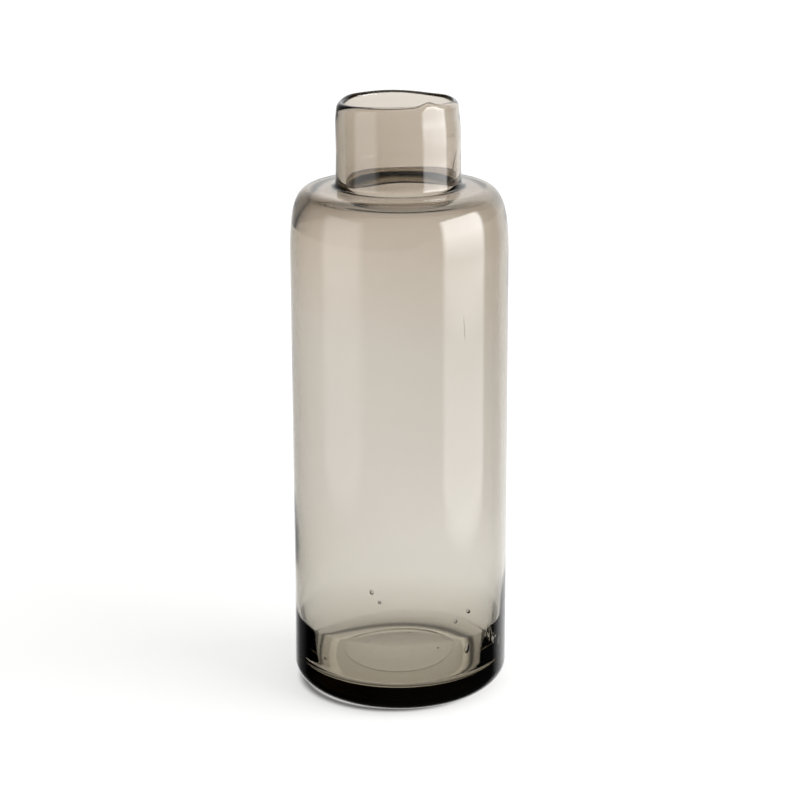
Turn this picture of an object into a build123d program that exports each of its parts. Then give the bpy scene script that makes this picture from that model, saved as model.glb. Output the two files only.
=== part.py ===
from build123d import *
import math
import os

# Bottle vase: one piece of mouth-blown glass. A heavy base, a thin straight wall, a flat shoulder
# and a short wide neck. Everything is turned about Z, apart from the lip, which waves by hand.
# Millimetres, +Z up. The origin is the middle of the ring that the vase stands on.

# Outside of the body
body_radius = 55.0
heel_width = 14.5
heel_height = 11.8
shoulder_height = 33.1
shoulder_inset = 11.5
shoulder_fall_share = 0.063
shoulder_lower_pull_share = 0.78
shoulder_upper_pull_share = 0.60

# Outside of the neck: a slight waist, a slight swell, then drawn in to the lip
lip_crown_height = 304.5
neck_height = 42.8
neck_root_radius = 31.2
neck_root_fillet = 4.0
neck_waist_depth = 0.3
neck_waist_share = 0.41
neck_swell_depth = 0.1
neck_swell_share = 0.74
draw_in_pull_share = 0.5

# Underside: a flat ring to stand on, with a shallow push-up inside it
foot_ring_width = 4.5
push_up_height = 3.0

# Cavity: a flat floor, a round corner, then a wall that is thick at the floor and thins as it rises
floor_height = 11.2
floor_corner_radius = 6.0
floor_wall_thickness = 11.8
lower_wall_thickness = 2.6
lower_wall_share = 0.33
upper_wall_thickness = 3.8
upper_wall_share = 0.83
taper_start_pull_share = 0.035
taper_end_pull_share = 0.78
thickening_pull_share = 0.4

# Glass over the shoulder and in the neck
shoulder_thickness = 5.2
neck_wall_thickness = 4.5
bore_root_fillet = 1.5

# Lip: fire-polished, broadly rounded outside and tightly inside, waving gently, with one small
# raised nick at the front right
lip_outer_round_width = 2.5
lip_outer_round_height = 3.0
lip_inner_round_radius = 0.9
lip_tilt = 0.39
lip_tilt_azimuth = -54.0
lip_saddle = 0.64
lip_saddle_azimuth = 108.0
lip_ripple = 0.16
lip_ripple_azimuth = -15.0
nick_height = 1.7
nick_azimuth = -58.0
nick_spread = 8.6
lip_ring_points = 60
lip_outer_bands = 7
lip_inner_bands = 4

# Radii and heights worked out from the sizes above
full_turn = 360.0
quarter_turn = full_turn / 4
foot_ring_outer_radius = body_radius - heel_width
foot_ring_inner_radius = foot_ring_outer_radius - foot_ring_width
shoulder_end_radius = body_radius - shoulder_inset
shoulder_end_height = lip_crown_height - neck_height
shoulder_start_height = shoulder_end_height - shoulder_height
shoulder_slope = math.atan(shoulder_fall_share)
neck_waist_radius = neck_root_radius - neck_waist_depth
neck_waist_height = shoulder_end_height + neck_height * neck_waist_share
neck_swell_radius = neck_root_radius - neck_swell_depth
neck_swell_height = shoulder_end_height + neck_height * neck_swell_share
neck_bore_radius = neck_root_radius - neck_wall_thickness
cavity_foot_radius = body_radius - floor_wall_thickness
cavity_corner_height = floor_height + floor_corner_radius
lower_cavity_radius = body_radius - lower_wall_thickness
lower_wall_height = shoulder_start_height * lower_wall_share
upper_cavity_radius = body_radius - upper_wall_thickness
upper_wall_height = shoulder_start_height * upper_wall_share
lip_crown_radius = neck_bore_radius + lip_inner_round_radius
lip_outer_radius = lip_crown_radius + lip_outer_round_width
lip_foot_height = lip_crown_height - lip_outer_round_height - lip_tilt - lip_saddle - lip_ripple


def turn_between(azimuth, towards):
    """Angle from one azimuth to another in degrees, from minus a half turn to a half turn."""
    half_turn = full_turn / 2
    return (azimuth - towards + half_turn) % full_turn - half_turn


def lip_rise(azimuth):
    """How far the lip stands above its mean height at an azimuth in degrees."""
    tilt = lip_tilt * math.cos(math.radians(turn_between(azimuth, lip_tilt_azimuth)))
    saddle = lip_saddle * math.cos(math.radians(2 * turn_between(azimuth, lip_saddle_azimuth)))
    ripple = lip_ripple * math.cos(math.radians(3 * turn_between(azimuth, lip_ripple_azimuth)))
    nick = nick_height * math.exp(-((turn_between(azimuth, nick_azimuth) / nick_spread) ** 2))
    return tilt + saddle + ripple + nick


def shoulder_curve(wall_radius, depth):
    """The turn from the upright wall to the slope, at a depth below the outer surface of the slope."""
    end_radius = shoulder_end_radius - depth * math.sin(shoulder_slope)
    end_height = shoulder_end_height - depth * math.cos(shoulder_slope)
    rise = end_height - shoulder_start_height
    pull = (wall_radius - end_radius) * shoulder_upper_pull_share
    return Bezier(
        (wall_radius, shoulder_start_height),
        (wall_radius, shoulder_start_height + rise * shoulder_lower_pull_share),
        (end_radius + pull, end_height - pull * shoulder_fall_share),
        (end_radius, end_height),
    )


def root_round(slope_end, wall_radius, fillet):
    """The slope's last stretch and the round that turns it up into the neck's wall."""
    centre_radius = wall_radius + fillet
    slope_height = slope_end.Y + (slope_end.X - centre_radius) * shoulder_fall_share
    centre_height = slope_height + fillet / math.cos(shoulder_slope)
    round_start = (
        centre_radius - fillet * math.sin(shoulder_slope),
        centre_height - fillet * math.cos(shoulder_slope),
    )
    slope = Line(slope_end, round_start)
    up_the_slope = (-math.cos(shoulder_slope), math.sin(shoulder_slope))
    turn = Spline(round_start, (wall_radius, centre_height), tangents=[up_the_slope, (0, 1)])
    return slope, turn


def outer_profile():
    """Heel, wall, shoulder and neck of the outside, from the standing ring to the foot of the lip."""
    heel = EllipticalCenterArc(
        (foot_ring_outer_radius, heel_height),
        heel_width,
        heel_height,
        start_angle=-quarter_turn,
        arc_size=quarter_turn,
    )
    wall = Line((body_radius, heel_height), (body_radius, shoulder_start_height))
    shoulder = shoulder_curve(body_radius, 0)
    slope, turn = root_round(shoulder @ 1, neck_root_radius, neck_root_fillet)
    neck = Spline(
        turn @ 1,
        (neck_waist_radius, neck_waist_height),
        (neck_swell_radius, neck_swell_height),
        tangents=[(0, 1), (0, 1)],
    )
    draw_in_rise = (lip_foot_height - neck_swell_height) * draw_in_pull_share
    draw_in = Bezier(
        neck @ 1,
        (neck_swell_radius, neck_swell_height + draw_in_rise),
        (lip_outer_radius, lip_foot_height - draw_in_rise),
        (lip_outer_radius, lip_foot_height),
    )
    return [heel, wall, shoulder, slope, turn, neck, draw_in]


def cavity_profile():
    """Floor, lower wall, shoulder and bore of the inside, from the middle of the floor up."""
    floor_radius = cavity_foot_radius - floor_corner_radius
    floor = Line((0, floor_height), (floor_radius, floor_height))
    corner = Spline(floor @ 1, (cavity_foot_radius, cavity_corner_height), tangents=[(1, 0), (0, 1)])
    taper_rise = lower_wall_height - cavity_corner_height
    taper = Bezier(
        corner @ 1,
        (cavity_foot_radius, cavity_corner_height + taper_rise * taper_start_pull_share),
        (lower_cavity_radius, lower_wall_height - taper_rise * taper_end_pull_share),
        (lower_cavity_radius, lower_wall_height),
    )
    thickening_pull = (upper_wall_height - lower_wall_height) * thickening_pull_share
    thickening = Bezier(
        taper @ 1,
        (lower_cavity_radius, lower_wall_height + thickening_pull),
        (upper_cavity_radius, upper_wall_height - thickening_pull),
        (upper_cavity_radius, upper_wall_height),
    )
    wall = Line(thickening @ 1, (upper_cavity_radius, shoulder_start_height))
    shoulder = shoulder_curve(upper_cavity_radius, shoulder_thickness)
    slope, turn = root_round(shoulder @ 1, neck_bore_radius, bore_root_fillet)
    bore = Line(turn @ 1, (neck_bore_radius, lip_foot_height))
    return [floor, corner, taper, thickening, wall, shoulder, slope, turn, bore]


def glass_blank():
    """The turned glass, up to the level foot of the lip."""
    outside = outer_profile()
    inside = cavity_profile()
    push_up = ThreePointArc(
        (0, push_up_height),
        (foot_ring_inner_radius / 2, push_up_height * 3 / 4),
        (foot_ring_inner_radius, 0),
    )
    standing_ring = Line(push_up @ 1, (foot_ring_outer_radius, 0))
    neck_end = Line(outside[-1] @ 1, inside[-1] @ 1)
    axis_line = Line((0, floor_height), (0, push_up_height))
    section = make_face(Curve() + outside + inside + [push_up, standing_ring, neck_end, axis_line])
    return revolve(Plane.XZ * section, Axis.Z)


def lip_ring(width, depth, angle):
    """Closed ring that waves with the lip, at an angle round the lip's section: zero is outwards."""
    radius = lip_crown_radius + width * math.cos(math.radians(angle))
    height = lip_crown_height - depth * (1 - math.sin(math.radians(angle)))
    azimuths = [step * full_turn / lip_ring_points for step in range(lip_ring_points)]
    points = [
        (
            radius * math.cos(math.radians(azimuth)),
            radius * math.sin(math.radians(azimuth)),
            height + lip_rise(azimuth),
        )
        for azimuth in azimuths
    ]
    return Spline(*points, periodic=True).edge()


def waving_lip():
    """The lip: from its level foot up the outside, over the crown in narrow bands, down the bore."""
    outer_turn = quarter_turn / lip_outer_bands
    inner_turn = quarter_turn / lip_inner_bands
    rings = [
        lip_ring(lip_outer_round_width, lip_outer_round_height, band * outer_turn)
        for band in range(lip_outer_bands + 1)
    ]
    rings += [
        lip_ring(lip_inner_round_radius, lip_inner_round_radius, quarter_turn + band * inner_turn)
        for band in range(1, lip_inner_bands + 1)
    ]
    foot_plane = Plane.XY.offset(lip_foot_height)
    outer_foot = Edge.make_circle(lip_outer_radius, plane=foot_plane)
    inner_foot = Edge.make_circle(neck_bore_radius, plane=foot_plane)
    loops = [outer_foot] + rings + [inner_foot]
    bands = [Face.make_surface_from_curves(lower, upper) for lower, upper in zip(loops, loops[1:])]
    foot = Face(Wire([outer_foot]), [Wire([inner_foot])])
    return Solid(Shell(bands + [foot]))


def glass_vase():
    """The whole vase: the turned blank with the waving lip melted onto it."""
    return glass_blank() + waving_lip()


def write_parts():
    """Write the one sub-part to its own file."""
    os.makedirs("parts", exist_ok=True)
    vase = glass_vase()
    vase.label = "glass_vase"
    export_step(vase, "parts/glass_vase.step")


write_parts()
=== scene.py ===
import math

import bpy
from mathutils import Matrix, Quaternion, Vector


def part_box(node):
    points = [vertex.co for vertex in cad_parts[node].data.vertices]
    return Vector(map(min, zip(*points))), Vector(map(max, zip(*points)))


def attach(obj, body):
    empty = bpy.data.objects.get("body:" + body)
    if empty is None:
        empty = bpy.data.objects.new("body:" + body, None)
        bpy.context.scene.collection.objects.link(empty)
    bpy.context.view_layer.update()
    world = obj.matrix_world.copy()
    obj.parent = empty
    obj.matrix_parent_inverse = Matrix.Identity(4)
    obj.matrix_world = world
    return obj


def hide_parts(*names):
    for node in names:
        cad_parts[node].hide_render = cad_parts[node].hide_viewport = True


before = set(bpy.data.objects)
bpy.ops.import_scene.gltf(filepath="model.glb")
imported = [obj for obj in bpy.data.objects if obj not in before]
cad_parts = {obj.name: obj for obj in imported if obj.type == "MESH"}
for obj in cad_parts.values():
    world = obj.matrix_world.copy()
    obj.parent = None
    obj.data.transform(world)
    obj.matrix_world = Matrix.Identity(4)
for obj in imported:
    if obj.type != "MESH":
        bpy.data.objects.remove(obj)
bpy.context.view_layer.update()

# A bottle vase of smoky hand-blown glass, on a white studio table. Metres, +Z up, the viewer at -Y.
# The skin of the glass is turned ring by ring, then given what a blowpipe leaves: a cavity that drifts
# off the axis, slow waves in the wall, a wavy fire-polished lip and air seeds.

bl_info = {
    "name": "Smoky Bottle Vase",
    "version": (1, 0, 0),
    "blender": (4, 5, 0),
    "location": "3D View > Sidebar > Vase",
    "description": "Builds a hand-blown bottle vase and the studio it stands in",
    "category": "Add Mesh",
}

VASE_LOW, VASE_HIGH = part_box("glass_vase")
MM = 0.001


def linear_colour(hex_colour):
    """The linear colour of an sRGB hex value such as #B39355."""
    channels = [int(hex_colour[i:i + 2], 16) / 255 for i in (1, 3, 5)]
    return tuple(c / 12.92 if c <= 0.04045 else ((c + 0.055) / 1.055) ** 2.4 for c in channels)


# Settings that the sidebar shows


class VaseShape(bpy.types.PropertyGroup):
    body_radius: bpy.props.FloatProperty(
        name="Body radius", description="Outside of the straight wall", unit="LENGTH",
        default=(VASE_HIGH[0] - VASE_LOW[0]) / 2,
    )
    lip_crown_height: bpy.props.FloatProperty(
        name="Lip height", description="Mean height of the lip's crown above the table",
        unit="LENGTH", default=304.5 * MM,
    )
    neck_height: bpy.props.FloatProperty(
        name="Neck height", description="From the end of the shoulder to the lip's crown",
        unit="LENGTH", default=42.8 * MM,
    )
    neck_radius: bpy.props.FloatProperty(
        name="Neck radius", description="Outside of the neck at its root",
        unit="LENGTH", default=31.2 * MM,
    )
    floor_height: bpy.props.FloatProperty(
        name="Floor height", description="Height of the cavity's floor above the table",
        unit="LENGTH", default=12.9 * MM,
    )
    columns: bpy.props.IntProperty(
        name="Columns", description="Mesh columns round the vase", default=288, min=48,
    )


class VaseGlass(bpy.types.PropertyGroup):
    smoke_colour: bpy.props.FloatVectorProperty(
        name="Smoke colour", description="Colour that the glass lets through",
        subtype="COLOR", size=3, default=linear_colour("#B3AA95"), min=0, max=1,
    )
    smoke_density: bpy.props.FloatProperty(
        name="Smoke density", description="Absorption per metre of glass", default=110.0,
    )
    foot_tint: bpy.props.FloatVectorProperty(
        name="Foot tint", description="Tint of the skin near the foot",
        subtype="COLOR", size=3, default=linear_colour("#FFFEFB"), min=0, max=1,
    )
    body_tint: bpy.props.FloatVectorProperty(
        name="Body tint", description="Tint of the skin half-way up",
        subtype="COLOR", size=3, default=linear_colour("#F5F3F1"), min=0, max=1,
    )
    neck_tint: bpy.props.FloatVectorProperty(
        name="Neck tint", description="Tint of the skin from the shoulder up",
        subtype="COLOR", size=3, default=linear_colour("#F1EBE5"), min=0, max=1,
    )
    refraction: bpy.props.FloatProperty(
        name="Refractive index", description="About that of soda-lime glass", default=1.5,
    )
    seed_scale: bpy.props.FloatProperty(
        name="Seed size", description="Size of the air seeds against their listed sizes", default=1.4,
    )


class Studio(bpy.types.PropertyGroup):
    table_colour: bpy.props.FloatVectorProperty(
        name="Table colour", description="Matt top of the table",
        subtype="COLOR", size=3, default=linear_colour("#AEAEAD"), min=0, max=1,
    )
    # Painted pool of light: the table glows under the vase in place of light that the glass brings down
    # there
    painted_foot_light: bpy.props.FloatProperty(
        name="Glow under the foot", description="Light that comes up under the vase", default=1.0,
    )
    table_glow: bpy.props.FloatProperty(
        name="Table glow", description="Light that comes up through the table near the vase",
        default=0.48,
    )
    far_glow: bpy.props.FloatProperty(
        name="Far glow", description="Light that comes up through the table farther off",
        default=0.62,
    )
    background_strength: bpy.props.FloatProperty(
        name="Background", description="Brightness of the white studio all round", default=1.0,
    )
    top_light: bpy.props.FloatProperty(
        name="Top light", description="Brightness of the soft light overhead", default=0.7,
    )
    right_softbox: bpy.props.FloatProperty(
        name="Right softbox", description="Radiance of the softbox at the right", default=4.2,
    )
    left_softbox: bpy.props.FloatProperty(
        name="Left softbox", description="Radiance of the softbox at the left", default=1.8,
    )
    camera_distance: bpy.props.FloatProperty(
        name="Camera distance", description="From the vase's axis to the camera, level",
        unit="LENGTH", default=1115.07 * MM,
    )
    camera_height: bpy.props.FloatProperty(
        name="Camera height", description="Height of the camera above the table",
        unit="LENGTH", default=483.67 * MM,
    )
    camera_pitch: bpy.props.FloatProperty(
        name="Camera pitch", description="How far the camera looks down",
        subtype="ANGLE", default=0.290,
    )


# Outside of the turned glass: the heel and the neck have the solid's sizes, while the push-up, the
# shoulder's inset and the round at the neck's root were fitted again to the look of the glass

HEEL_WIDTH = 14.5 * MM
HEEL_HEIGHT = 11.8 * MM
FOOT_RING_WIDTH = 4.5 * MM
PUSH_UP_HEIGHT = 1.2 * MM
SHOULDER_HEIGHT = 33.1 * MM
SHOULDER_INSET = 12.3 * MM
NECK_ROOT_FILLET = 2.5 * MM
NECK_WAIST_DEPTH = 0.3 * MM
NECK_SWELL_DEPTH = 0.1 * MM

# Cavity: a floor with one low ring, a round corner that ends a few degrees short of upright, a thick
# foot of the wall, then a thin wall that thickens towards the shoulder. A lean and a pull place the
# handles of the wall's curves.

FLOOR_RING_RADIUS = 29.8 * MM
FLOOR_RING_WIDTH = 1.6 * MM
FLOOR_RING_RISE = 0.25 * MM
FLOOR_WALL = 6.6 * MM
FLOOR_CORNER = 6.0 * MM
FLOOR_CORNER_END_DEGREES = -4
THICK_WALL_TOP = 38.0 * MM
THICK_WALL_TOP_WALL = 3.1 * MM
THICK_WALL_LEAN = 1.1 * MM
THICK_WALL_PULL = 6.2 * MM
THIN_WALL_LEAN = 0.4 * MM
THIN_WALL_LOW_PULL = 4.0 * MM
THIN_WALL_HIGH_PULL = 12.0 * MM
LOWER_WALL = 2.6 * MM
UPPER_WALL = 3.8 * MM
SHOULDER_WALL = 3.7 * MM
NECK_WALL = 4.5 * MM
BORE_ROOT_FILLET = 1.0 * MM

# Lip: broadly rounded outside, more tightly inside

LIP_ROUND_WIDTH = 2.4 * MM
LIP_ROUND_HEIGHT = 3.4 * MM
LIP_INNER_ROUND = 1.7 * MM
LIP_FOOT_DEPTH = 4.6 * MM

# Shares that shape the curves: how far a handle reaches along its curve, where the neck's waist and
# swell lie below the lip, where the wall's thickness changes, how the shoulder falls outwards, and how
# far its inside ends nearer the axis for its depth

PUSH_UP_HANDLES = (0.4, 0.7)
PUSH_UP_KNEE = 0.5
SHOULDER_FALL = 0.063
SHOULDER_LEAN = 1.15
SHOULDER_LOWER_PULL = 0.78
SHOULDER_UPPER_PULL = 0.60
NECK_WAIST_DOWN = 0.59
NECK_SWELL_DOWN = 0.26
LOWER_WALL_UP = 0.33
UPPER_WALL_UP = 0.83
THICKENING_PULL = 0.4

# What the glassblower's hand adds to the lip: azimuths run from the right towards the back

LIP_TILT = 0.39 * MM
LIP_TILT_AT = math.radians(-54)
LIP_SADDLE = 0.64 * MM
LIP_SADDLE_AT = math.radians(108)
LIP_RIPPLE = 0.16 * MM
LIP_RIPPLE_AT = math.radians(-15)
NICK_HEIGHT = 1.7 * MM
NICK_AT = math.radians(-58)
NICK_SPREAD = math.radians(8.6)
BACK_SWELL = 0.6 * MM
BACK_SWELL_AT = math.radians(58)
BACK_SWELL_SPREAD = math.radians(17)

# How deep under the crown these waves fade in and are full, and how the outer round is pressed flatter
# at the back: by how much, between which sines of the azimuth, over which share of the lip's rings

LIP_WAVE_START = 9.0 * MM
LIP_WAVE_FULL = 2.5 * MM
BACK_PRESS = 0.35 * MM
BACK_PRESS_START = -0.2
BACK_PRESS_FULL = 0.6
OUTER_ROUND_SHARE = 0.6


def in_metres(rows):
    """Rows of millimetres as rows of metres."""
    return [tuple(size * MM for size in row) for row in rows]


# How a surface leaves the true round, at heights from the foot to the lip: how far its middle stands
# to the right of the axis and to the back of it, and how much it is wider across. In millimetres.

CAVITY_DRIFT = in_metres((
    (12.9, -0.8, 0.0, 0.0),
    (20.0, -0.2, 0.0, 0.0),
    (36.0, 0.0, 0.0, 0.0),
    (64.0, 0.9, 0.0, -0.3),
    (110.0, 0.2, 0.0, -0.2),
    (200.0, -0.3, 0.0, 0.0),
    (240.0, 0.0, 0.0, 0.0),
    (258.0, 0.8, -0.9, 0.4),
    (270.0, 1.1, 0.0, 0.6),
    (284.0, 1.2, 0.0, 0.7),
    (296.0, 0.4, 0.0, 0.4),
    (305.0, 0.0, 0.0, 0.0),
))
SKIN_DRIFT = in_metres((
    (0.0, 0.0, 0.0, 0.0),
    (60.0, 0.3, 0.0, -0.3),
    (240.0, 0.3, 0.0, -0.4),
    (262.0, 0.0, 0.0, 0.0),
    (285.0, 0.0, 0.0, 0.0),
    (298.0, -0.4, 0.0, -0.4),
    (305.0, -0.5, 0.0, -1.0),
))

# Air seeds in the wall, in degrees to the right of the viewer's side and in millimetres: where each
# one lies (round the vase, height, distance from the axis), then how wide, thick and long it is and
# how far its long side leans to the right

WALL_SEEDS = (
    (-15.1, 66.6, 53.6, 1.4, 1.0, 1.7, 30.0),
    (-10.8, 61.6, 53.6, 1.2, 1.0, 1.2, 0.0),
    (39.3, 52.2, 53.5, 2.0, 1.0, 1.4, -35.0),
    (31.2, 48.5, 53.2, 1.2, 1.0, 1.6, -20.0),
    (38.7, 32.2, 53.2, 2.2, 1.1, 3.8, -8.0),
    (-45.1, 25.3, 52.5, 1.2, 1.0, 1.2, 0.0),
    (-48.3, 31.6, 53.3, 1.0, 0.8, 1.2, 0.0),
    (54.0, 38.0, 53.6, 0.6, 0.5, 6.0, -20.0),
    (57.0, 35.5, 53.5, 0.6, 0.5, 7.0, 5.0),
    (60.0, 34.0, 53.4, 0.7, 0.5, 6.5, 24.0),
    (61.5, 30.0, 53.2, 2.2, 1.0, 4.4, 28.0),
    (69.0, 27.0, 53.0, 1.6, 0.8, 3.6, -20.0),
    (36.0, 200.0, 53.0, 0.3, 0.3, 9.0, 4.0),
    (60.0, 272.0, 29.2, 0.6, 0.5, 16.0, -24.0),
)

# Round air seeds in the floor, in millimetres: how far to the right and to the back of the axis, how
# deep under the floor, and how wide

FLOOR_SEEDS = (
    (5.3, 25.1, 1.2, 1.3),
    (20.8, -7.7, 1.4, 1.0),
    (-17.0, 11.0, 1.3, 0.9),
    (-29.5, 1.5, 1.2, 1.1),
)
SEED_RINGS = 8
SEED_COLUMNS = 16

# Pattern of the glass: length and depth of the slow waves, and the heights of the skin's tints

WAVE_LENGTH = 22.0 * MM
WAVE_DEPTH = 0.06 * MM
TINT_TOP = 300.0 * MM
FOOT_TINT_HEIGHT = 30.0 * MM
BODY_TINT_LOW = 115.0 * MM
BODY_TINT_HIGH = 160.0 * MM
NECK_TINT_HEIGHT = 258.0 * MM

# The table's glow, by distance from a point near the vase's axis: a painted pool of light, full under
# the foot;
# a painted shadow ring, all but dark just outside its edge; then lighter, and farther off lighter
# still, so that the table stays white. The point lies 4 mm to the left of the axis and 1 mm to the back
# of it, so the painted shadow falls more to the left. Each edge is where a change starts and ends. The
# table is so wide that its own edges are never seen.

TABLE_HALF_WIDTH = 60.0
PAINTED_SHADOW_SHIFT = (4.0 * MM, -1.0 * MM, 0.0)
PAINTED_FOOT_LIGHT_EDGE = (41.0 * MM, 46.0 * MM)
PAINTED_SHADOW_RING_OUTER_EDGE = (46.0 * MM, 51.0 * MM)
FAR_GLOW_EDGE = (150.0 * MM, 700.0 * MM)
PAINTED_SHADOW_RING_LEVEL = 0.03

# The studio's walls, by the X, Y or Z of the direction that a ray looks in: where each starts and
# where it is full, and how bright a reflection is where there is no wall, and at the left

WALL_BEHIND = (0.45, 0.85)
WALL_FROM_LEFT = (-0.6, -0.1)
LIGHT_ABOVE = (0.7, 0.85)
NO_WALL = 0.02
LEFT_WALL = 0.15

# Softboxes: height in metres and share of brightness up the lit cloth

RIGHT_CLOTH = (
    (-0.32, 0.0), (-0.27, 0.6), (-0.10, 0.6), (-0.05, 1.0), (0.05, 1.05), (0.12, 1.4), (0.35, 2.35),
    (0.75, 2.35), (0.85, 0.0),
)
LEFT_CLOTH = (
    (-0.32, 0.0), (-0.27, 0.55), (-0.10, 0.55), (-0.05, 1.0), (0.75, 1.0), (0.85, 0.0),
)

# Camera: focal length and sensor in millimetres, place beside the axis, and roll in radians

CAMERA_LENS = 102.9
CAMERA_SENSOR = 36.0
CAMERA_RIGHT = 0.363 * MM
CAMERA_ROLL = -0.0036

WHITE = (1.0, 1.0, 1.0, 1.0)
SOFT_STEP = {"interpolation_type": "SMOOTHSTEP"}


# Curves of the outline


def smooth(low, high, value):
    """A soft step from 0 at low to 1 at high."""
    share = min(1.0, max(0.0, (value - low) / (high - low)))
    return share * share * (3 - 2 * share)


def bezier(points, rings):
    """Points along a cubic curve from its start, two handles and end, without its first one."""
    start, start_handle, end_handle, end = (Vector(point) for point in points)
    curve = []
    for ring in range(1, rings + 1):
        share = ring / rings
        left = 1 - share
        curve.append(
            start * left ** 3 + start_handle * 3 * share * left ** 2
            + end_handle * 3 * share * share * left + end * share ** 3
        )
    return curve


def straight(start, end, rings):
    """Points along a line, without its first one."""
    start, end = Vector(start), Vector(end)
    return [start.lerp(end, ring / rings) for ring in range(1, rings + 1)]


def arc(centre, radius_across, radius_up, start, end, rings):
    """Points along a round, without its first one; angles in degrees from outwards."""
    curve = []
    for ring in range(1, rings + 1):
        angle = math.radians(start + (end - start) * ring / rings)
        curve.append(Vector((
            centre[0] + radius_across * math.cos(angle),
            centre[1] + radius_up * math.sin(angle),
        )))
    return curve


def shoulder_curve(shape, wall_radius, depth, rings):
    """The turn from the upright wall to the slope, at a depth below the outer slope."""
    slope = math.atan(SHOULDER_FALL)
    end_radius = shape.body_radius - SHOULDER_INSET - depth * SHOULDER_LEAN
    outer_end = shape.lip_crown_height - shape.neck_height
    start_height = outer_end - SHOULDER_HEIGHT
    end_height = outer_end - depth * math.cos(slope)
    rise = end_height - start_height
    pull = (wall_radius - end_radius) * SHOULDER_UPPER_PULL
    return bezier((
        (wall_radius, start_height),
        (wall_radius, start_height + rise * SHOULDER_LOWER_PULL),
        (end_radius + pull, end_height - pull * SHOULDER_FALL),
        (end_radius, end_height),
    ), rings)


def root_round(slope_end, wall_radius, fillet, rings):
    """The slope's last stretch and the round that turns it up into the neck."""
    slope = math.atan(SHOULDER_FALL)
    centre_radius = wall_radius + fillet
    slope_height = slope_end[1] + (slope_end[0] - centre_radius) * SHOULDER_FALL
    centre = (centre_radius, slope_height + fillet / math.cos(slope))
    first = 270 - math.degrees(slope)
    start = (
        centre[0] + fillet * math.cos(math.radians(first)),
        centre[1] + fillet * math.sin(math.radians(first)),
    )
    return straight(slope_end, start, rings=8) + arc(centre, fillet, fillet, first, 180, rings)


# The skin of the glass


def outer_wall(shape):
    """From the middle of the underside, round the heel, up the wall to just under the lip."""
    ring_outside = shape.body_radius - HEEL_WIDTH
    ring_inside = ring_outside - FOOT_RING_WIDTH
    crown = shape.lip_crown_height
    centre = Vector((0.0, PUSH_UP_HEIGHT))
    points = [centre] + bezier((
        centre, (ring_inside * PUSH_UP_HANDLES[0], PUSH_UP_HEIGHT),
        (ring_inside * PUSH_UP_HANDLES[1], PUSH_UP_HEIGHT * PUSH_UP_KNEE), (ring_inside, 0.0),
    ), rings=14)
    points += straight(points[-1], (ring_outside, 0.0), rings=4)
    points += arc((ring_outside, HEEL_HEIGHT), HEEL_WIDTH, HEEL_HEIGHT, -90, 0, rings=22)
    shoulder_start = crown - shape.neck_height - SHOULDER_HEIGHT
    points += straight(points[-1], (shape.body_radius, shoulder_start), rings=44)
    points += shoulder_curve(shape, shape.body_radius, 0.0, rings=22)
    points += root_round(points[-1], shape.neck_radius, NECK_ROOT_FILLET, rings=12)
    waist = (shape.neck_radius - NECK_WAIST_DEPTH, crown - shape.neck_height * NECK_WAIST_DOWN)
    swell = (shape.neck_radius - NECK_SWELL_DEPTH, crown - shape.neck_height * NECK_SWELL_DOWN)
    points += straight(points[-1], waist, rings=5)
    points += straight(waist, swell, rings=6)
    lip_outside = shape.neck_radius - NECK_WALL + LIP_INNER_ROUND + LIP_ROUND_WIDTH
    lip_foot = crown - LIP_FOOT_DEPTH
    pull = (lip_foot - swell[1]) / 2
    points += bezier((
        swell, (swell[0], swell[1] + pull), (lip_outside, lip_foot - pull), (lip_outside, lip_foot),
    ), rings=10)
    return points


def lip_bead(shape):
    """The lip: a broad round outside the crown, and a tighter one into the bore."""
    crown_radius = shape.neck_radius - NECK_WALL + LIP_INNER_ROUND
    crown = shape.lip_crown_height
    side = (crown_radius + LIP_ROUND_WIDTH, crown - LIP_ROUND_HEIGHT)
    outer = arc((crown_radius, side[1]), LIP_ROUND_WIDTH, LIP_ROUND_HEIGHT, 0, 90, rings=18)
    inner_centre = (crown_radius, crown - LIP_INNER_ROUND)
    inner = arc(inner_centre, LIP_INNER_ROUND, LIP_INNER_ROUND, 90, 180, rings=12)
    return [Vector(side)] + outer + inner


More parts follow.
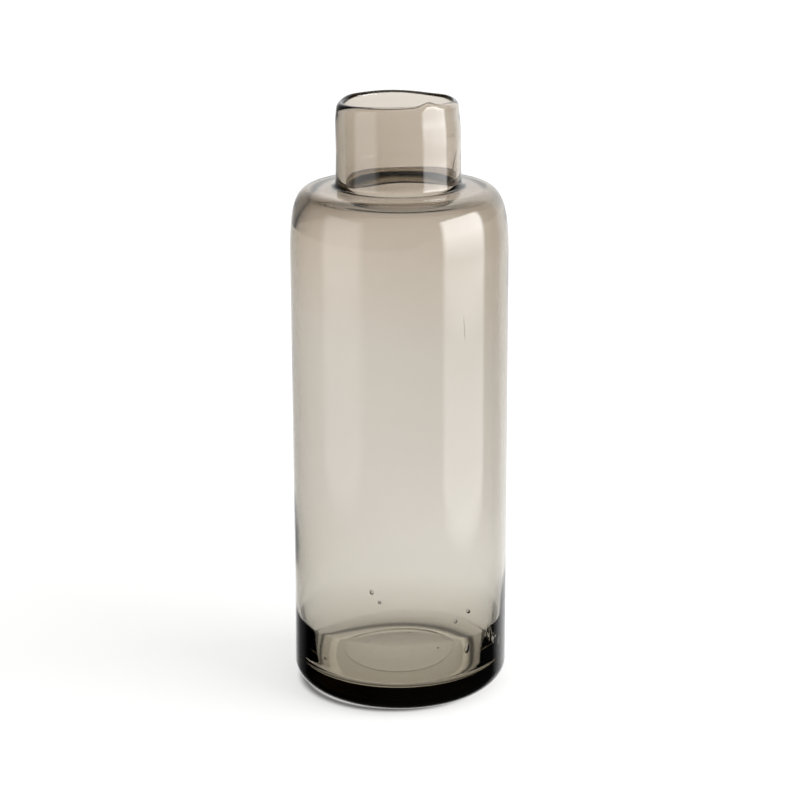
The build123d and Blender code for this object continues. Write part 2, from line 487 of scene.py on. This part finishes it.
def cavity_wall(shape):
    """From the bore under the lip down the inside of the wall to the middle of the floor."""
    bore = shape.neck_radius - NECK_WALL
    crown = shape.lip_crown_height
    floor = shape.floor_height
    shoulder_start = crown - shape.neck_height - SHOULDER_HEIGHT
    foot_radius = shape.body_radius - FLOOR_WALL
    top_radius = shape.body_radius - THICK_WALL_TOP_WALL
    lower_radius = shape.body_radius - LOWER_WALL
    upper_radius = shape.body_radius - UPPER_WALL
    corner_radius = foot_radius - FLOOR_CORNER
    corner_height = floor + FLOOR_CORNER
    lower_height = shoulder_start * LOWER_WALL_UP
    upper_height = shoulder_start * UPPER_WALL_UP
    thickening = (upper_height - lower_height) * THICKENING_PULL
    up = [Vector((0.0, floor))]
    up += straight(up[-1], (FLOOR_RING_RADIUS, floor), rings=10)
    up += straight(up[-1], (FLOOR_RING_RADIUS + FLOOR_RING_WIDTH / 2, floor + FLOOR_RING_RISE), rings=2)
    up += straight(up[-1], (FLOOR_RING_RADIUS + FLOOR_RING_WIDTH, floor), rings=2)
    up += straight(up[-1], (corner_radius, floor), rings=6)
    corner = (corner_radius, corner_height)
    up += arc(corner, FLOOR_CORNER, FLOOR_CORNER, -90, FLOOR_CORNER_END_DEGREES, rings=14)
    up += bezier((
        up[-1], (foot_radius + THICK_WALL_LEAN, corner_height + THICK_WALL_PULL),
        (top_radius - THICK_WALL_LEAN, THICK_WALL_TOP - THICK_WALL_PULL), (top_radius, THICK_WALL_TOP),
    ), rings=24)
    up += bezier((
        up[-1], (top_radius + THIN_WALL_LEAN, THICK_WALL_TOP + THIN_WALL_LOW_PULL),
        (lower_radius, lower_height - THIN_WALL_HIGH_PULL), (lower_radius, lower_height),
    ), rings=14)
    up += bezier((
        up[-1], (lower_radius, lower_height + thickening),
        (upper_radius, upper_height - thickening), (upper_radius, upper_height),
    ), rings=24)
    up += straight(up[-1], (upper_radius, shoulder_start), rings=8)
    up += shoulder_curve(shape, upper_radius, SHOULDER_WALL, rings=22)
    up += root_round(up[-1], bore, BORE_ROOT_FILLET, rings=10)
    up += straight(up[-1], (bore, crown - LIP_FOOT_DEPTH), rings=14)
    return list(reversed(up))


def glass_outline(shape):
    """Points from the underside over the lip to the floor, each with its share inwards.

    The share is 0 outside and 1 in the cavity, and it rises round the lip.
    """
    lip = lip_bead(shape)
    outline = [(point, 0.0) for point in outer_wall(shape)]
    outline += [(point, (step + 1) / len(lip)) for step, point in enumerate(lip)]
    outline += [(point, 1.0) for point in cavity_wall(shape)]
    return outline


def lip_rise(azimuth):
    """How far the lip stands above its mean height."""
    from_nick = math.remainder(azimuth - NICK_AT, math.tau)
    from_back = abs(math.remainder(azimuth - math.pi / 2, math.tau))
    return (
        LIP_TILT * math.cos(azimuth - LIP_TILT_AT)
        + LIP_SADDLE * math.cos(2 * (azimuth - LIP_SADDLE_AT))
        + LIP_RIPPLE * math.cos(3 * (azimuth - LIP_RIPPLE_AT))
        + NICK_HEIGHT * math.exp(-((from_nick / NICK_SPREAD) ** 2))
        + BACK_SWELL * math.exp(-(((from_back - BACK_SWELL_AT) / BACK_SWELL_SPREAD) ** 2))
    )


def drift_at(drift, height):
    """How far a surface stands to the right and to the back, and is wider across, at a height."""
    for low, high in zip(drift, drift[1:]):
        if height <= high[0]:
            share = smooth(low[0], high[0], height)
            return Vector(low[1:]).lerp(Vector(high[1:]), share)
    return Vector(drift[-1][1:])


def shell_faces(first, rings, columns):
    """Faces of a closed shell of rings between two poles, numbered from its first pole."""
    faces = []
    last = first + 1 + rings * columns
    for column in range(columns):
        following = (column + 1) % columns
        faces.append((first, first + 1 + following, first + 1 + column))
        for low in range(first + 1, last - columns, columns):
            high = low + columns
            faces.append((low + column, low + following, high + following, high + column))
        faces.append((last - columns + column, last - columns + following, last))
    return faces


def glass_skin(shape):
    """Vertices and faces of the whole skin of the glass, outside, lip and cavity in one."""
    outline = glass_outline(shape)
    crown = shape.lip_crown_height
    vertices = [Vector((0.0, 0.0, outline[0][0][1]))]
    for (radius, height), inwards in outline[1:-1]:
        waving = smooth(crown - LIP_WAVE_START, crown - LIP_WAVE_FULL, height)
        skin, cavity = drift_at(SKIN_DRIFT, height), drift_at(CAVITY_DRIFT, height)
        right, back, wider = skin.lerp(cavity, inwards)
        on_outer_round = math.sin(math.pi * min(1.0, inwards / OUTER_ROUND_SHARE))
        for column in range(shape.columns):
            azimuth = math.tau * column / shape.columns
            pressed = BACK_PRESS * smooth(BACK_PRESS_START, BACK_PRESS_FULL, math.sin(azimuth))
            vertices.append(Vector((
                (radius + wider) * math.cos(azimuth) + right,
                radius * math.sin(azimuth) + back,
                height + lip_rise(azimuth) * waving - pressed * on_outer_round,
            )))
    right, back, wider = drift_at(CAVITY_DRIFT, 0.0)
    vertices.append(Vector((right, back, outline[-1][0][1])))
    return vertices, shell_faces(0, len(outline) - 2, shape.columns)


def floor_seeds(floor_height):
    """The floor's air seeds, described in the same way as the wall's."""
    return [
        (
            math.degrees(math.atan2(right, -back)), floor_height / MM - deep, math.hypot(right, back),
            size, size, size, 0.0,
        )
        for right, back, deep, size in FLOOR_SEEDS
    ]


def add_seeds(vertices, faces, scale, floor_height):
    """Add the air seeds: closed shells whose faces look inwards, out of the glass and into the air."""
    seeds = [*WALL_SEEDS, *floor_seeds(floor_height)]
    for round_the_vase, height, distance, width, thickness, length, lean in seeds:
        azimuth = math.radians(round_the_vase)
        outwards = Vector((math.sin(azimuth), -math.cos(azimuth), 0.0))
        sideways = Vector((math.cos(azimuth), math.sin(azimuth), 0.0))
        middle = outwards * distance * MM + Vector((0.0, 0.0, height * MM))
        leaning = Quaternion(outwards, math.radians(lean))
        along = leaning @ Vector((0.0, 0.0, 1.0))
        across = leaning @ sideways
        half_width, half_thickness, half_length = (
            size * MM * scale / 2 for size in (width, thickness, length)
        )
        first = len(vertices)
        vertices.append(middle + along * half_length)
        for ring in range(1, SEED_RINGS + 1):
            polar = math.pi * ring / (SEED_RINGS + 1)
            for column in range(SEED_COLUMNS):
                turn = math.tau * column / SEED_COLUMNS
                vertices.append(
                    middle + across * half_width * math.sin(polar) * math.cos(turn)
                    + outwards * half_thickness * math.sin(polar) * math.sin(turn)
                    + along * half_length * math.cos(polar)
                )
        vertices.append(middle - along * half_length)
        faces += [face[::-1] for face in shell_faces(first, SEED_RINGS, SEED_COLUMNS)]


# Materials


def add_node(tree, kind, settings=None, inputs=None, stops=()):
    """A node of a kind with its settings, its inputs and, on a colour ramp, its stops.

    An input goes by name, or by number where two share a name, and is a value or the socket that
    feeds it. A stop is a place and a colour, and the stops run from low to high.
    """
    node = tree.nodes.new(kind)
    for name, value in (settings or {}).items():
        setattr(node, name, value)
    for name, value in (inputs or {}).items():
        if isinstance(value, bpy.types.NodeSocket):
            tree.links.new(value, node.inputs[name])
        else:
            node.inputs[name].default_value = value
    for index, (place, colour) in enumerate(stops):
        ramp = node.color_ramp.elements
        stop = ramp[index] if index < len(ramp) else ramp.new(1.0)
        stop.position = place
        stop.color = (*colour, 1.0)
    return node


def bare_material(name):
    """A new material with an empty node tree."""
    material = bpy.data.materials.new(name)
    material.use_nodes = True
    material.node_tree.nodes.clear()
    return material


def smoky_blown_glass(glass):
    """Soda-lime glass with a smoke tint, blown and fire-polished.

    The smoke is in the depth of the glass, so thin walls are pale and the heavy base goes dark. A
    faint tint in the skin turns from neutral at the foot to warm at the neck. The polish is
    mirror-smooth, with the slow waves that hand-blown glass has, drawn as bump.
    """
    material = bare_material("smoky_blown_glass")
    tree = material.node_tree
    place = add_node(tree, "ShaderNodeTexCoord")
    waves = add_node(tree, "ShaderNodeTexNoise", {"noise_dimensions": "3D"}, {
        "Vector": place.outputs["Object"], "Scale": 1 / WAVE_LENGTH, "Detail": 1.0, "Roughness": 0.4,
    })
    bump = add_node(tree, "ShaderNodeBump", None, {
        "Height": waves.outputs["Fac"], "Strength": 1.0, "Distance": WAVE_DEPTH,
    })
    axes = add_node(tree, "ShaderNodeSeparateXYZ", None, {"Vector": place.outputs["Object"]})
    share = add_node(tree, "ShaderNodeMapRange", None, {
        "Value": axes.outputs["Z"], "From Min": 0.0, "From Max": TINT_TOP,
    })
    tint = add_node(tree, "ShaderNodeValToRGB", None, {"Fac": share.outputs["Result"]}, (
        (FOOT_TINT_HEIGHT / TINT_TOP, glass.foot_tint),
        (BODY_TINT_LOW / TINT_TOP, glass.body_tint),
        (BODY_TINT_HIGH / TINT_TOP, glass.body_tint),
        (NECK_TINT_HEIGHT / TINT_TOP, glass.neck_tint),
    ))
    tint.color_ramp.interpolation = "EASE"
    surface = add_node(tree, "ShaderNodeBsdfPrincipled", None, {
        "Base Color": tint.outputs["Color"], "Roughness": 0.0, "IOR": glass.refraction,
        "Transmission Weight": 1.0, "Normal": bump.outputs["Normal"],
    })
    depth = add_node(tree, "ShaderNodeVolumeAbsorption", None, {
        "Color": (*glass.smoke_colour, 1.0), "Density": glass.smoke_density,
    })
    add_node(tree, "ShaderNodeOutputMaterial", None, {
        "Surface": surface.outputs["BSDF"], "Volume": depth.outputs["Volume"],
    })
    return material


def table_with_painted_light(studio):
    """A matt opal acrylic table that glows: a painted pool of light under the foot, a painted shadow
    ring just outside it that lies more to the left, and an even glow beyond, so that shadows on it stay
    light.
    """
    material = bare_material("table_with_painted_light")
    tree = material.node_tree
    matt = add_node(tree, "ShaderNodeBsdfDiffuse", None, {"Color": (*studio.table_colour, 1.0)})
    place = add_node(tree, "ShaderNodeTexCoord")
    # The painted pool of light and the painted shadow ring are centred a little to the left of the axis
    shifted = add_node(tree, "ShaderNodeVectorMath", {"operation": "ADD"}, {
        0: place.outputs["Object"], 1: PAINTED_SHADOW_SHIFT,
    })
    distance = add_node(tree, "ShaderNodeVectorMath", {"operation": "LENGTH"}, {
        "Vector": shifted.outputs["Vector"],
    })
    # Painted pool of light under the foot, falling to the painted shadow ring at its edge
    under = add_node(tree, "ShaderNodeMapRange", SOFT_STEP, {
        "Value": distance.outputs["Value"],
        "From Min": PAINTED_FOOT_LIGHT_EDGE[0], "From Max": PAINTED_FOOT_LIGHT_EDGE[1],
        "To Min": studio.painted_foot_light, "To Max": PAINTED_SHADOW_RING_LEVEL,
    })
    # Outside the painted shadow ring the table's even glow comes back
    near = add_node(tree, "ShaderNodeMapRange", SOFT_STEP, {
        "Value": distance.outputs["Value"],
        "From Min": PAINTED_SHADOW_RING_OUTER_EDGE[0], "From Max": PAINTED_SHADOW_RING_OUTER_EDGE[1],
        "To Min": 0.0, "To Max": studio.table_glow,
    })
    far = add_node(tree, "ShaderNodeMapRange", SOFT_STEP, {
        "Value": distance.outputs["Value"],
        "From Min": FAR_GLOW_EDGE[0], "From Max": FAR_GLOW_EDGE[1],
        "To Min": 0.0, "To Max": studio.far_glow - studio.table_glow,
    })
    close = add_node(tree, "ShaderNodeMath", {"operation": "ADD"}, {
        0: under.outputs["Result"], 1: near.outputs["Result"],
    })
    strength = add_node(tree, "ShaderNodeMath", {"operation": "ADD"}, {
        0: close.outputs["Value"], 1: far.outputs["Result"],
    })
    glow = add_node(tree, "ShaderNodeEmission", None, {
        "Color": WHITE, "Strength": strength.outputs["Value"],
    })
    both = add_node(tree, "ShaderNodeAddShader", None, {
        0: matt.outputs["BSDF"], 1: glow.outputs["Emission"],
    })
    add_node(tree, "ShaderNodeOutputMaterial", None, {"Surface": both.outputs["Shader"]})
    return material


def softbox_cloth(name, half_width, feather, radiance, steps):
    """The lit nylon cloth of a softbox: brighter or darker up its steps, and faded at both sides."""
    material = bare_material(name)
    tree = material.node_tree
    low, high = steps[0][0], steps[-1][0]
    brightest = max(share for height, share in steps)
    place = add_node(tree, "ShaderNodeTexCoord")
    axes = add_node(tree, "ShaderNodeSeparateXYZ", None, {"Vector": place.outputs["Object"]})
    up = add_node(tree, "ShaderNodeMapRange", None, {
        "Value": axes.outputs["Z"], "From Min": low, "From Max": high,
    })
    bright = add_node(tree, "ShaderNodeValToRGB", None, {"Fac": up.outputs["Result"]}, [
        ((height - low) / (high - low), [share / brightest] * 3) for height, share in steps
    ])
    off_middle = add_node(tree, "ShaderNodeMath", {"operation": "ABSOLUTE"}, {0: axes.outputs["X"]})
    across = add_node(tree, "ShaderNodeMapRange", SOFT_STEP, {
        "Value": off_middle.outputs["Value"], "From Min": half_width - feather, "From Max": half_width,
        "To Min": radiance * brightest, "To Max": 0.0,
    })
    glow = add_node(tree, "ShaderNodeEmission", None, {
        "Color": bright.outputs["Color"], "Strength": across.outputs["Result"],
    })
    add_node(tree, "ShaderNodeOutputMaterial", None, {"Surface": glow.outputs["Emission"]})
    return material


def white_studio(studio):
    """The white studio all round, as the camera, the table and the glass find it.

    The camera and the table find plain white. Light that comes through the glass finds white all
    round and the soft light overhead. A reflection finds that light and the wall behind the vase,
    which is dim at the left.
    """
    world = bpy.data.worlds.new("white_studio")
    world.use_nodes = True
    tree = world.node_tree
    tree.nodes.clear()
    light_path = add_node(tree, "ShaderNodeLightPath")
    direction = add_node(tree, "ShaderNodeTexCoord")
    axes = add_node(tree, "ShaderNodeSeparateXYZ", None, {"Vector": direction.outputs["Generated"]})
    behind = add_node(tree, "ShaderNodeMapRange", SOFT_STEP, {
        "Value": axes.outputs["Y"], "From Min": WALL_BEHIND[0], "From Max": WALL_BEHIND[1],
        "To Min": NO_WALL, "To Max": 1.0,
    })
    from_left = add_node(tree, "ShaderNodeMapRange", SOFT_STEP, {
        "Value": axes.outputs["X"], "From Min": WALL_FROM_LEFT[0], "From Max": WALL_FROM_LEFT[1],
        "To Min": LEFT_WALL, "To Max": 1.0,
    })
    above = add_node(tree, "ShaderNodeMapRange", SOFT_STEP, {
        "Value": axes.outputs["Z"], "From Min": LIGHT_ABOVE[0], "From Max": LIGHT_ABOVE[1],
        "To Min": 0.0, "To Max": studio.top_light,
    })
    mirrored = add_node(tree, "ShaderNodeMath", {"operation": "MULTIPLY"}, {
        0: behind.outputs["Result"], 1: from_left.outputs["Result"],
    })
    walls = add_node(tree, "ShaderNodeMix", {"data_type": "FLOAT"}, {
        "Factor": light_path.outputs["Is Glossy Ray"], "A": 1.0, "B": mirrored.outputs["Value"],
    })
    walls_and_light = add_node(tree, "ShaderNodeMath", {"operation": "ADD"}, {
        0: walls.outputs["Result"], 1: above.outputs["Result"],
    })
    seen_plain = add_node(tree, "ShaderNodeMath", {"operation": "MAXIMUM"}, {
        0: light_path.outputs["Is Camera Ray"], 1: light_path.outputs["Diffuse Depth"],
    })
    strength = add_node(tree, "ShaderNodeMix", {"data_type": "FLOAT", "clamp_factor": True}, {
        "Factor": seen_plain.outputs["Value"], "A": walls_and_light.outputs["Value"],
        "B": studio.background_strength,
    })
    white = add_node(tree, "ShaderNodeBackground", None, {
        "Color": WHITE, "Strength": strength.outputs["Result"],
    })
    add_node(tree, "ShaderNodeOutputWorld", None, {"Surface": white.outputs["Background"]})
    return world


# Pieces, lights and camera


def mesh_object(name, vertices, faces, material):
    """A smooth-shaded mesh object with one material."""
    mesh = bpy.data.meshes.new(name)
    mesh.from_pydata(vertices, [], faces)
    mesh.materials.append(material)
    mesh.shade_smooth()
    mesh.update()
    piece = bpy.data.objects.new(name, mesh)
    bpy.context.scene.collection.objects.link(piece)
    return piece


def softbox(name, azimuth, distance, half_width, feather, radiance, lamp_radiance, steps):
    """An upright softbox that faces the vase; azimuth in degrees from the camera's side to the right.

    The lamp lights the table. The cloth is what the glass mirrors.
    """
    low, high = steps[0][0], steps[-1][0]
    angle = math.radians(azimuth - 90)
    right, back = distance * math.cos(angle), distance * math.sin(angle)
    lamp = bpy.data.lights.new(name + "_lamp", "AREA")
    lamp.shape = "RECTANGLE"
    lamp.size = half_width * 2
    lamp.size_y = high - low
    mean_share = sum(
        (upper[0] - lower[0]) * (lower[1] + upper[1]) / 2 for lower, upper in zip(steps, steps[1:])
    ) / (high - low)
    mean_share *= 1 - feather / half_width / 2
    lamp.energy = lamp_radiance * mean_share * math.pi * lamp.size * lamp.size_y
    light = bpy.data.objects.new(name + "_lamp", lamp)
    light.location = (right, back, (low + high) / 2)
    light.rotation_euler = (math.radians(90), 0.0, angle + math.radians(90))
    light.visible_camera = False
    light.visible_glossy = False
    light.visible_transmission = False
    bpy.context.scene.collection.objects.link(light)
    corners = [
        (-half_width, 0.0, low), (half_width, 0.0, low),
        (half_width, 0.0, high), (-half_width, 0.0, high),
    ]
    material = softbox_cloth(name + "_cloth", half_width, feather, radiance, steps)
    cloth = mesh_object(name + "_cloth", corners, [(0, 1, 2, 3)], material)
    cloth.location = (right, back, 0.0)
    cloth.rotation_euler = (0.0, 0.0, angle + math.radians(90))
    cloth.visible_camera = False
    cloth.visible_diffuse = False
    cloth.visible_transmission = False
    cloth.visible_shadow = False


def studio_table(studio):
    """The table top that the vase stands on."""
    half = TABLE_HALF_WIDTH
    corners = [(-half, -half, 0.0), (half, -half, 0.0), (half, half, 0.0), (-half, half, 0.0)]
    table = mesh_object("studio_floor", corners, [(0, 1, 2, 3)], table_with_painted_light(studio))
    table.visible_glossy = False


def studio_camera(studio):
    """The camera, in front of the vase and looking down on it."""
    lens = bpy.data.cameras.new("studio_camera")
    lens.lens = CAMERA_LENS
    lens.sensor_width = CAMERA_SENSOR
    camera = bpy.data.objects.new("studio_camera", lens)
    camera.location = (CAMERA_RIGHT, -studio.camera_distance, studio.camera_height)
    camera.rotation_mode = "QUATERNION"
    tilt = Quaternion((1, 0, 0), math.pi / 2 - studio.camera_pitch)
    camera.rotation_quaternion = tilt @ Quaternion((0, 0, 1), CAMERA_ROLL)
    bpy.context.scene.collection.objects.link(camera)
    return camera


# Operators and sidebar


class VASE_OT_glass(bpy.types.Operator):
    """Blow the vase: one skin of glass with its wavy lip, off-centre cavity and heavy base"""
    bl_idname = "vase.glass"
    bl_label = "Glass vase"

    def execute(self, context):
        shape, glass = context.scene.vase_shape, context.scene.vase_glass
        vertices, faces = glass_skin(shape)
        add_seeds(vertices, faces, glass.seed_scale, shape.floor_height)
        vase = mesh_object("blown_glass", vertices, faces, smoky_blown_glass(glass))
        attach(vase, "root")
        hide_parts("glass_vase")
        return {"FINISHED"}


class VASE_OT_studio(bpy.types.Operator):
    """Lay the white table, set the softboxes and place the camera"""
    bl_idname = "vase.studio"
    bl_label = "Studio"

    def execute(self, context):
        scene = context.scene
        studio = scene.vase_studio
        studio_table(studio)
        softbox(
            "right_softbox", azimuth=72, distance=1.1, half_width=0.62, feather=0.18,
            radiance=studio.right_softbox, lamp_radiance=5.6, steps=RIGHT_CLOTH,
        )
        softbox(
            "left_softbox", azimuth=-63, distance=1.2, half_width=0.66, feather=0.32,
            radiance=studio.left_softbox, lamp_radiance=0.9, steps=LEFT_CLOTH,
        )
        scene.world = white_studio(studio)
        scene.view_settings.view_transform = "Standard"
        scene.cycles.max_bounces = 24
        scene.cycles.transmission_bounces = 24
        scene.cycles.glossy_bounces = 12
        scene.camera = studio_camera(studio)
        return {"FINISHED"}


class VASE_PT_panel(bpy.types.Panel):
    """The vase's settings and its two steps"""
    bl_idname = "VASE_PT_panel"
    bl_label = "Bottle vase"
    bl_space_type = "VIEW_3D"
    bl_region_type = "UI"
    bl_category = "Vase"

    def draw(self, context):
        for group in (context.scene.vase_shape, context.scene.vase_glass, context.scene.vase_studio):
            box = self.layout.box()
            for name in group.__annotations__:
                box.prop(group, name)
        self.layout.operator(VASE_OT_glass.bl_idname)
        self.layout.operator(VASE_OT_studio.bl_idname)


CLASSES = (VaseShape, VaseGlass, Studio, VASE_OT_glass, VASE_OT_studio, VASE_PT_panel)


def register():
    """Make the settings, the operators and the panel known to Blender."""
    for entry in CLASSES:
        bpy.utils.register_class(entry)
    bpy.types.Scene.vase_shape = bpy.props.PointerProperty(type=VaseShape)
    bpy.types.Scene.vase_glass = bpy.props.PointerProperty(type=VaseGlass)
    bpy.types.Scene.vase_studio = bpy.props.PointerProperty(type=Studio)


def unregister():
    """Take back what register added."""
    del bpy.types.Scene.vase_studio
    del bpy.types.Scene.vase_glass
    del bpy.types.Scene.vase_shape
    for entry in reversed(CLASSES):
        bpy.utils.unregister_class(entry)


def main():
    """Build the vase and its studio."""
    register()
    bpy.ops.vase.glass()
    bpy.ops.vase.studio()


if __name__ == "__main__":
    main()
